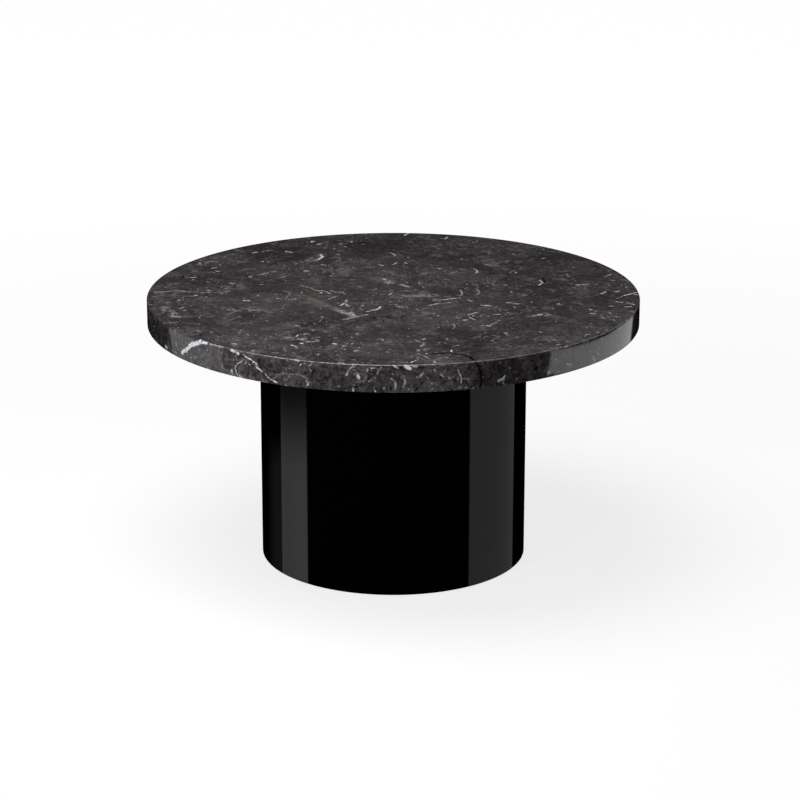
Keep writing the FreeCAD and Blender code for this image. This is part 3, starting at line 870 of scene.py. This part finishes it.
def rolled_drum_tree():
    """An upright tube with rounded rims: a rectangle swept around a circle."""
    inputs = {
        "Radius": "NodeSocketFloat",
        "Wall": "NodeSocketFloat",
        "Low": "NodeSocketFloat",
        "High": "NodeSocketFloat",
        "Edge ease": "NodeSocketFloat",
        "Steps around": "NodeSocketInt",
        "Steps of the ease": "NodeSocketInt",
        "Material": "NodeSocketMaterial",
    }
    nodes, given, out = geometry_tree("rolled_drum", inputs)
    middle = nodes.math("MULTIPLY_ADD", given["Wall"], -0.5, given["Radius"])
    tall = nodes.math("SUBTRACT", given["High"], given["Low"])
    ring = {"Resolution": given["Steps around"], "Radius": middle}
    path = nodes.add("GeometryNodeCurvePrimitiveCircle", ring).outputs[0]
    section = {"Width": given["Wall"], "Height": tall}
    section = nodes.add("GeometryNodeCurvePrimitiveQuadrilateral", section).outputs[0]
    rounding = {"Curve": section, "Radius": given["Edge ease"], "Count": given["Steps of the ease"]}
    section = nodes.add("GeometryNodeFilletCurve", rounding, mode="POLY").outputs[0]
    tube = nodes.add("GeometryNodeCurveToMesh", {"Curve": path, "Profile Curve": section}).outputs[0]
    half_way = nodes.math("MULTIPLY_ADD", tall, 0.5, given["Low"])
    lift = {"Geometry": tube, "Translation": nodes.along_axes(z=half_way)}
    give_out(nodes, given, out, nodes.add("GeometryNodeTransform", lift).outputs[0])
    return nodes.tree


def lacquered_drum():
    """The rolled drum with its eased rims."""
    values = {
        "Radius": DRUM_RADIUS,
        "Wall": DRUM_WALL,
        "Low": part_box("drum_shell")[0][2],
        "High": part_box("drum_shell")[1][2],
        "Edge ease": DRUM_EDGE_EASE,
        "Steps around": LATHE_STEPS,
        "Steps of the ease": EASE_STEPS,
        "Material": gloss_black_lacquer(),
    }
    tree = rolled_drum_tree()
    grown("lacquered_drum", tree, values, LATHE_SHARP_ANGLE, "drum_shell", "table")


BEAD_INPUTS = {
    "Wall radius": "NodeSocketFloat",
    "Low": "NodeSocketFloat",
    "Length": "NodeSocketFloat",
    "Leg": "NodeSocketFloat",
    "Crown": "NodeSocketFloat",
    "Ripple pitch": "NodeSocketFloat",
    "Ripple depth": "NodeSocketFloat",
    "Points": "NodeSocketInt",
    "Material": "NodeSocketMaterial",
}
STITCH_INPUTS = BEAD_INPUTS | {
    "Count": "NodeSocketInt",
    "Start angle": "NodeSocketFloat",
}


def rippled_bead(nodes, given, path, section):
    """A weld bead along a path, whose four-point section swells with each ripple and tapers at the ends."""
    points = {f"Point {number}": point for number, point in enumerate(section, 1)}
    section = nodes.add("GeometryNodeCurvePrimitiveQuadrilateral", points, mode="POINTS").outputs[0]
    along = nodes.add("GeometryNodeSplineParameter").outputs
    turn = nodes.math("DIVIDE", along["Length"], given["Ripple pitch"])
    wave = nodes.math("SINE", nodes.math("MULTIPLY", turn, math.tau))
    wave = nodes.math("MULTIPLY_ADD", wave, 0.5, -0.5)
    swell = nodes.math("MULTIPLY_ADD", wave, given["Ripple depth"], 1.0)
    to_end = nodes.math("MINIMUM", along["Factor"], nodes.math("SUBTRACT", 1.0, along["Factor"]))
    taper = nodes.math("MULTIPLY_ADD", to_end, BEAD_TAPER_RATE, BEAD_END_SHARE)
    taper = nodes.math("MINIMUM", taper, 1.0)
    inputs = {
        "Curve": path,
        "Profile Curve": section,
        "Scale": nodes.math("MULTIPLY", swell, taper),
        "Fill Caps": True,
    }
    return nodes.add("GeometryNodeCurveToMesh", inputs).outputs[0]


def stitch_weld_tree():
    """Short fillet beads, evenly spaced in the corner under a ring."""
    nodes, given, out = geometry_tree("stitch_welds", STITCH_INPUTS)
    sweep = nodes.math("DIVIDE", given["Length"], given["Wall radius"])
    arc = {
        "Resolution": given["Points"],
        "Radius": given["Wall radius"],
        "Start Angle": nodes.math("MULTIPLY", sweep, -0.5),
        "Sweep Angle": sweep,
    }
    path = nodes.add("GeometryNodeCurveArc", arc).outputs[0]
    leg = given["Leg"]
    belly = nodes.math("MULTIPLY_ADD", leg, 0.5, given["Crown"])
    section = [
        (0.0, 0.0, 0.0),
        nodes.along_axes(y=leg),
        nodes.along_axes(x=nodes.math("MULTIPLY", belly, -1.0), y=belly),
        nodes.along_axes(x=nodes.math("MULTIPLY", leg, -1.0)),
    ]
    bead = rippled_bead(nodes, given, path, section)
    places = {"Count": given["Count"], "Position": nodes.along_axes(z=given["Low"])}
    places = nodes.add("GeometryNodePoints", places).outputs[0]
    step = nodes.math("DIVIDE", math.tau, given["Count"])
    index = nodes.add("GeometryNodeInputIndex").outputs[0]
    turn = nodes.math("MULTIPLY_ADD", index, step, given["Start angle"])
    inputs = {"Points": places, "Instance": bead, "Rotation": nodes.along_axes(z=turn)}
    give_out(nodes, given, out, nodes.add("GeometryNodeInstanceOnPoints", inputs).outputs[0])
    return nodes.tree


def seam_weld_tree():
    """One long bead up the inside of the drum's seam."""
    nodes, given, out = geometry_tree("seam_weld", BEAD_INPUTS)
    high = nodes.math("ADD", given["Low"], given["Length"])
    start = nodes.along_axes(y=given["Wall radius"], z=given["Low"])
    end = nodes.along_axes(y=given["Wall radius"], z=high)
    path = nodes.add("GeometryNodeCurvePrimitiveLine", {"Start": start, "End": end}).outputs[0]
    path = nodes.add("GeometryNodeResampleCurve", {"Curve": path, "Count": given["Points"]}).outputs[0]
    section = []
    for across_share, raised_share in SEAM_SECTION_SHARES:
        across = nodes.math("MULTIPLY", given["Leg"], across_share)
        raised = nodes.math("MULTIPLY", given["Crown"], raised_share)
        section.append(nodes.along_axes(x=across, y=raised))
    give_out(nodes, given, out, rippled_bead(nodes, given, path, section))
    return nodes.tree


def weld_beads(finish):
    """The rippled beads under the two rings and in the seam."""
    wall = DRUM_RADIUS - DRUM_WALL - WELD_CLEARANCE
    common = {
        "Wall radius": wall,
        "Ripple pitch": RIPPLE_PITCH,
        "Ripple depth": RIPPLE_DEPTH,
        "Material": finish,
    }
    stitches = stitch_weld_tree()
    for node in ("flange_welds", "ring_welds"):
        values = common | {
            "Low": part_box(node)[1][2],
            "Length": STITCH_LENGTH,
            "Leg": WELD_LEG - WELD_CLEARANCE,
            "Crown": WELD_CROWN,
            "Points": round(STITCH_LENGTH / RIPPLE_PITCH * POINTS_PER_RIPPLE),
            "Count": STITCH_COUNT,
            "Start angle": STITCH_START,
        }
        grown(f"rippled_{node}", stitches, values, WELD_SHARP_ANGLE, node, "table")
    low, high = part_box("seam_weld")
    length = high[2] - low[2]
    values = common | {
        "Low": low[2],
        "Length": length,
        "Leg": high[0] - low[0],
        "Crown": wall - low[1],
        "Points": round(length / RIPPLE_PITCH * POINTS_PER_RIPPLE),
    }
    seam = seam_weld_tree()
    grown("rippled_seam_weld", seam, values, WELD_SHARP_ANGLE, "seam_weld", "table")


STUD_INPUTS = {
    "Place": "NodeSocketVector",
    "Turn": "NodeSocketFloat",
    "Top": "NodeSocketFloat",
    "Collar low": "NodeSocketFloat",
    "Collar high": "NodeSocketFloat",
    "Collar corner radius": "NodeSocketFloat",
    "Collar eased radius": "NodeSocketFloat",
    "Pin radius": "NodeSocketFloat",
    "Pivot radius": "NodeSocketFloat",
    "Pivot low": "NodeSocketFloat",
    "Pivot high": "NodeSocketFloat",
    "Thread pitch": "NodeSocketFloat",
    "Thread root radius": "NodeSocketFloat",
    "Thread depth": "NodeSocketFloat",
    "Material": "NodeSocketMaterial",
}


def stud_tree():
    """A glide's screw: a helical thread on a core, an eased hexagon collar and a pin with its flange."""
    nodes, given, out = geometry_tree("threaded_stud", STUD_INPUTS)

    def raised(shape, height):
        """The shape, lifted by a height."""
        lift = {"Geometry": shape, "Translation": nodes.along_axes(z=height)}
        return nodes.add("GeometryNodeTransform", lift).outputs[0]

    def cylinder(low, high, radius, sides=ROUND_STEPS):
        """An upright cylinder between two heights."""
        tall = nodes.math("SUBTRACT", high, low)
        inputs = {"Vertices": sides, "Radius": radius, "Depth": tall}
        shape = nodes.add("GeometryNodeMeshCylinder", inputs).outputs["Mesh"]
        return raised(shape, nodes.math("MULTIPLY_ADD", tall, 0.5, low))

    low, high = given["Collar low"], given["Collar high"]
    hexagon = cylinder(low, high, given["Collar corner radius"], HEXAGON_SIDES)
    cone = {
        "Vertices": CONE_STEPS,
        "Radius Bottom": given["Collar eased radius"],
        "Radius Top": nodes.math("MULTIPLY", given["Collar corner radius"], 2.0),
        "Depth": nodes.math("SUBTRACT", high, low),
    }
    turned_off = raised(nodes.add("GeometryNodeMeshCone", cone).outputs["Mesh"], low)
    collar = nodes.add("GeometryNodeMeshBoolean", operation="INTERSECT", solver="EXACT")
    for shape in (hexagon, turned_off):
        nodes.feed(collar.inputs["Mesh 2"], shape)
    pin = cylinder(given["Pivot high"], low, given["Pin radius"])
    pivot = cylinder(given["Pivot low"], given["Pivot high"], given["Pivot radius"])
    core = cylinder(high, given["Top"], given["Thread root radius"])

    pitch = given["Thread pitch"]
    start = nodes.math("ADD", high, pitch)
    tall = nodes.math("SUBTRACT", nodes.math("SUBTRACT", given["Top"], start), pitch)
    helix = {
        "Resolution": THREAD_STEPS,
        "Rotations": nodes.math("DIVIDE", tall, pitch),
        "Start Radius": given["Thread root radius"],
        "End Radius": given["Thread root radius"],
        "Height": tall,
    }
    helix = nodes.add("GeometryNodeCurveSpiral", helix).outputs[0]
    helix = nodes.add("GeometryNodeSetCurveNormal", {0: helix}, mode="Z_UP").outputs[0]
    ridge = {"Resolution": THREAD_RIDGE_CORNERS, "Radius": given["Thread depth"]}
    ridge = nodes.add("GeometryNodeCurvePrimitiveCircle", ridge).outputs[0]
    inputs = {"Curve": helix, "Profile Curve": ridge, "Fill Caps": True}
    thread = raised(nodes.add("GeometryNodeCurveToMesh", inputs).outputs[0], start)

    shapes = nodes.add("GeometryNodeJoinGeometry")
    for shape in (collar.outputs[0], pin, pivot, core, thread):
        nodes.feed(shapes.inputs[0], shape)
    inputs = {
        "Geometry": shapes.outputs[0],
        "Translation": given["Place"],
        "Rotation": nodes.along_axes(z=given["Turn"]),
    }
    give_out(nodes, given, out, nodes.add("GeometryNodeTransform", inputs).outputs[0])
    return nodes.tree


def glide_studs(finish):
    """The four threaded studs, each on the body that turns with it."""
    tree = stud_tree()
    for number in range(1, GLIDE_COUNT + 1):
        node = f"foot_stud_{number}"
        low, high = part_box(node)
        x, y = (low[0] + high[0]) / 2, (low[1] + high[1]) / 2
        values = {
            "Place": (x, y, 0.0),
            "Turn": math.atan2(y, x),
            "Top": high[2],
            "Collar low": COLLAR_HEIGHTS[0],
            "Collar high": COLLAR_HEIGHTS[1],
            "Collar corner radius": COLLAR_CORNER_RADIUS,
            "Collar eased radius": COLLAR_EASED_RADIUS,
            "Pin radius": PIN_RADIUS,
            "Pivot radius": PIVOT_RADIUS,
            "Pivot low": PIVOT_HEIGHTS[0],
            "Pivot high": PIVOT_HEIGHTS[1],
            "Thread pitch": THREAD_PITCH,
            "Thread root radius": THREAD_ROOT_RADIUS,
            "Thread depth": THREAD_DEPTH,
            "Material": finish,
        }
        name, body = f"threaded_stud_{number}", f"stud_{number}"
        grown(name, tree, values, STUD_SHARP_ANGLE, node, body)


def hidden_finishes():
    """The finishes of the underside, by the record's slot."""
    zinc = (0.42, 0.43, 0.46, 1), (0.6, 0.61, 0.63, 1)
    brass = (0.55, 0.38, 0.14, 1), (0.72, 0.53, 0.24, 1)
    oxide = (0.03, 0.03, 0.032, 1), (0.06, 0.06, 0.063, 1)
    paint = (0.012, 0.012, 0.012, 1), (0.022, 0.022, 0.023, 1)
    rubber = (0.012, 0.012, 0.012, 1), (0.026, 0.026, 0.025, 1)
    nylon = (0.02, 0.02, 0.021, 1), (0.032, 0.032, 0.033, 1)
    felt = (0.07, 0.066, 0.06, 1), (0.16, 0.15, 0.14, 1)
    return {
        "satin_paint": coated("satin_black_paint", *paint, roughness=0.4, scale=90),
        "black_screw": coated("black_oxide", *oxide, roughness=0.4, scale=160, metallic=0.4),
        "zinc": coated("bright_zinc", *zinc, roughness=0.33, scale=120, metallic=0.6),
        "brass": coated("turned_brass", *brass, roughness=0.35, scale=120, metallic=0.6),
        "rubber": coated("black_rubber", *rubber, roughness=0.8, scale=200),
        "nylon": coated("black_nylon", *nylon, roughness=0.45, scale=180),
        "felt": coated("grey_felt", *felt, roughness=0.85, scale=900),
    }


def dress_hidden_pieces(finishes):
    """Gives each carried-over piece of the underside its finish."""
    for part in frame["record"]["subparts"]:
        finish = finishes.get(part["material_slot"])
        if finish:
            piece = frame["nodes"][part["node"]]
            piece.data.materials.clear()
            piece.data.materials.append(finish)


def studio_floor():
    """A pale light table that is lit softly from within, and keeps the table's shadow."""
    shape = bmesh.new()
    bmesh.ops.create_circle(shape, cap_ends=True, segments=FLOOR_STEPS, radius=FLOOR_RADIUS)
    mesh = bpy.data.meshes.new("studio_floor")
    shape.to_mesh(mesh)
    shape.free()
    floor = bpy.data.objects.new("studio_floor", mesh)
    bpy.context.collection.objects.link(floor)
    material, nodes, shader = new_material("light_table")
    shader.inputs["Base Color"].default_value = FLOOR_GREY
    shader.inputs["Roughness"].default_value = 1.0
    shader.inputs["Specular IOR Level"].default_value = 0.0
    shader.inputs["Emission Color"].default_value = WHITE
    away = nodes.vector("LENGTH", nodes.object_place())
    glow = nodes.ramp(away, *FLOOR_GLOW_REACH, *FLOOR_GLOW)
    nodes.feed(shader.inputs["Emission Strength"], glow)
    clear = nodes.add("ShaderNodeBsdfTransparent").outputs[0]
    below = nodes.add("ShaderNodeNewGeometry").outputs["Backfacing"]
    sides = nodes.add("ShaderNodeMixShader", {0: below, 1: shader.outputs[0], 2: clear})
    nodes.feed(material.node_tree.nodes["Material Output"].inputs["Surface"], sides.outputs[0])
    mesh.materials.append(material)
    # The photographed table is lit from above in a dark studio, so the pale floor doesn't light it
    floor.visible_glossy = False
    floor.visible_diffuse = False
    floor.visible_shadow = False


def softbox(name, near, far, heights, levels, dimmed):
    """An upright light panel between two plan points, seen only in the gloss.

    Its level runs from the near to the far end. Between the two heights of its dimming it falls to a share.
    """
    low, high = heights
    mesh = bpy.data.meshes.new(name)
    corners = [(*near, low), (*far, low), (*far, high), (*near, high)]
    mesh.from_pydata(corners, [], [(0, 1, 2, 3)])
    panel = bpy.data.objects.new(name, mesh)
    bpy.context.collection.objects.link(panel)
    material = bpy.data.materials.new(name)
    material.use_nodes = True
    nodes = Nodes(material.node_tree)
    place = nodes.add("ShaderNodeSeparateXYZ", {0: nodes.object_place()}).outputs
    along = nodes.ramp(place["Y"], near[1], far[1], *levels)
    full_height, dim_height, dim_share = dimmed
    dimming = nodes.ramp(place["Z"], full_height, dim_height, 1.0, dim_share)
    glow = nodes.math("MULTIPLY", along, dimming)
    emission = nodes.add("ShaderNodeEmission", {"Strength": glow})
    nodes.feed(material.node_tree.nodes["Material Output"].inputs["Surface"], emission.outputs[0])
    material.cycles.emission_sampling = "NONE"
    mesh.materials.append(material)
    panel.visible_camera = False
    panel.visible_diffuse = False
    panel.visible_shadow = False


def lamp(name, place, target, size, power, glossy=True):
    """A round soft lamp that faces a point, and may be kept out of the gloss."""
    light = bpy.data.lights.new(name, "AREA")
    light.shape = "DISK"
    light.size = size
    light.energy = power
    aim = (Vector(target) - Vector(place)).to_track_quat("-Z", "Y")
    fixture = bpy.data.objects.new(name, light)
    fixture.matrix_world = Matrix.Translation(place) @ aim.to_matrix().to_4x4()
    fixture.visible_glossy = glossy
    fixture.visible_camera = False
    bpy.context.collection.objects.link(fixture)


def studio_world():
    """A white surround that lights the table faintly, kept out of the gloss as the dark studio was."""
    world = bpy.data.worlds.new("studio")
    bpy.context.scene.world = world
    world.use_nodes = True
    nodes = Nodes(world.node_tree)
    background = world.node_tree.nodes["Background"]
    background.inputs["Color"].default_value = WHITE
    ray = nodes.add("ShaderNodeLightPath").outputs
    seen = nodes.math("ADD", ray["Is Camera Ray"], ray["Is Glossy Ray"])
    seen = nodes.math("ADD", seen, ray["Is Transmission Ray"])
    nodes.feed(background.inputs["Strength"], nodes.ramp(seen, 0.0, 1.0, WORLD_LIGHT, 1.0))
    world.cycles_visibility.glossy = False


def photo_camera():
    """The camera of the photograph, found from the table's outline."""
    data = bpy.data.cameras.new("photo_camera")
    data.sensor_width = SENSOR_WIDTH
    data.lens = FOCAL_PIXELS / PHOTO_PIXELS * SENSOR_WIDTH
    camera = bpy.data.objects.new("photo_camera", data)
    turn = Matrix.Rotation(-CAMERA_YAW, 4, "Z")
    tilt = Matrix.Rotation(math.pi / 2 - CAMERA_PITCH, 4, "X")
    roll = Matrix.Rotation(CAMERA_ROLL, 4, "Z")
    place = Matrix.Translation((0, -CAMERA_DISTANCE, CAMERA_HEIGHT))
    camera.matrix_world = place @ turn @ tilt @ roll
    bpy.context.collection.objects.link(camera)
    bpy.context.scene.camera = camera


stone_disc()
lacquered_drum()
finishes = hidden_finishes()
dress_hidden_pieces(finishes)
weld_beads(finishes["satin_paint"])
glide_studs(finishes["zinc"])
studio_floor()
softbox(
    "left_drum_light", near=(-0.467, -0.180), far=(-0.469, 0.071), heights=(-0.35, 0.150),
    levels=(0.72, 0.40), dimmed=(-0.01, 0.115, 0.12),
)
softbox(
    "left_spill", near=(-0.469, 0.072), far=(-0.358, 0.262), heights=(-0.35, 0.10),
    levels=(0.065, 0.0), dimmed=(-0.012, 0.05, 0.0),
)
softbox(
    "left_edge_light", near=(-0.465, -0.233), far=(-0.473, 0.030), heights=(0.165, 0.25),
    levels=(0.75, 0.60), dimmed=UNDIMMED,
)
softbox(
    "right_drum_light", near=(0.436, -0.258), far=(0.432, 0.175), heights=(-0.35, 0.150),
    levels=(0.37, 0.24), dimmed=UNDIMMED,
)
softbox(
    "right_edge_light", near=(0.442, -0.290), far=(0.418, 0.150), heights=(0.165, 0.25),
    levels=(1.45, 0.95), dimmed=UNDIMMED,
)
lamp("overhead_lamp", place=(-0.25, -0.16, 1.50), target=(-0.05, 0.0, 0.3), size=1.1, power=16.8)
lamp("edge_lamp", (-0.35, -0.66, 0.28), (0.0, 0.0, 0.28), size=0.2, power=1.75, glossy=False)
lamp("underside_lamp", place=(0.0, 0.0, -0.9), target=(0.0, 0.0, 0.0), size=0.25, power=6.0)
studio_world()
photo_camera()
bpy.context.scene.view_settings.view_transform = "Standard"
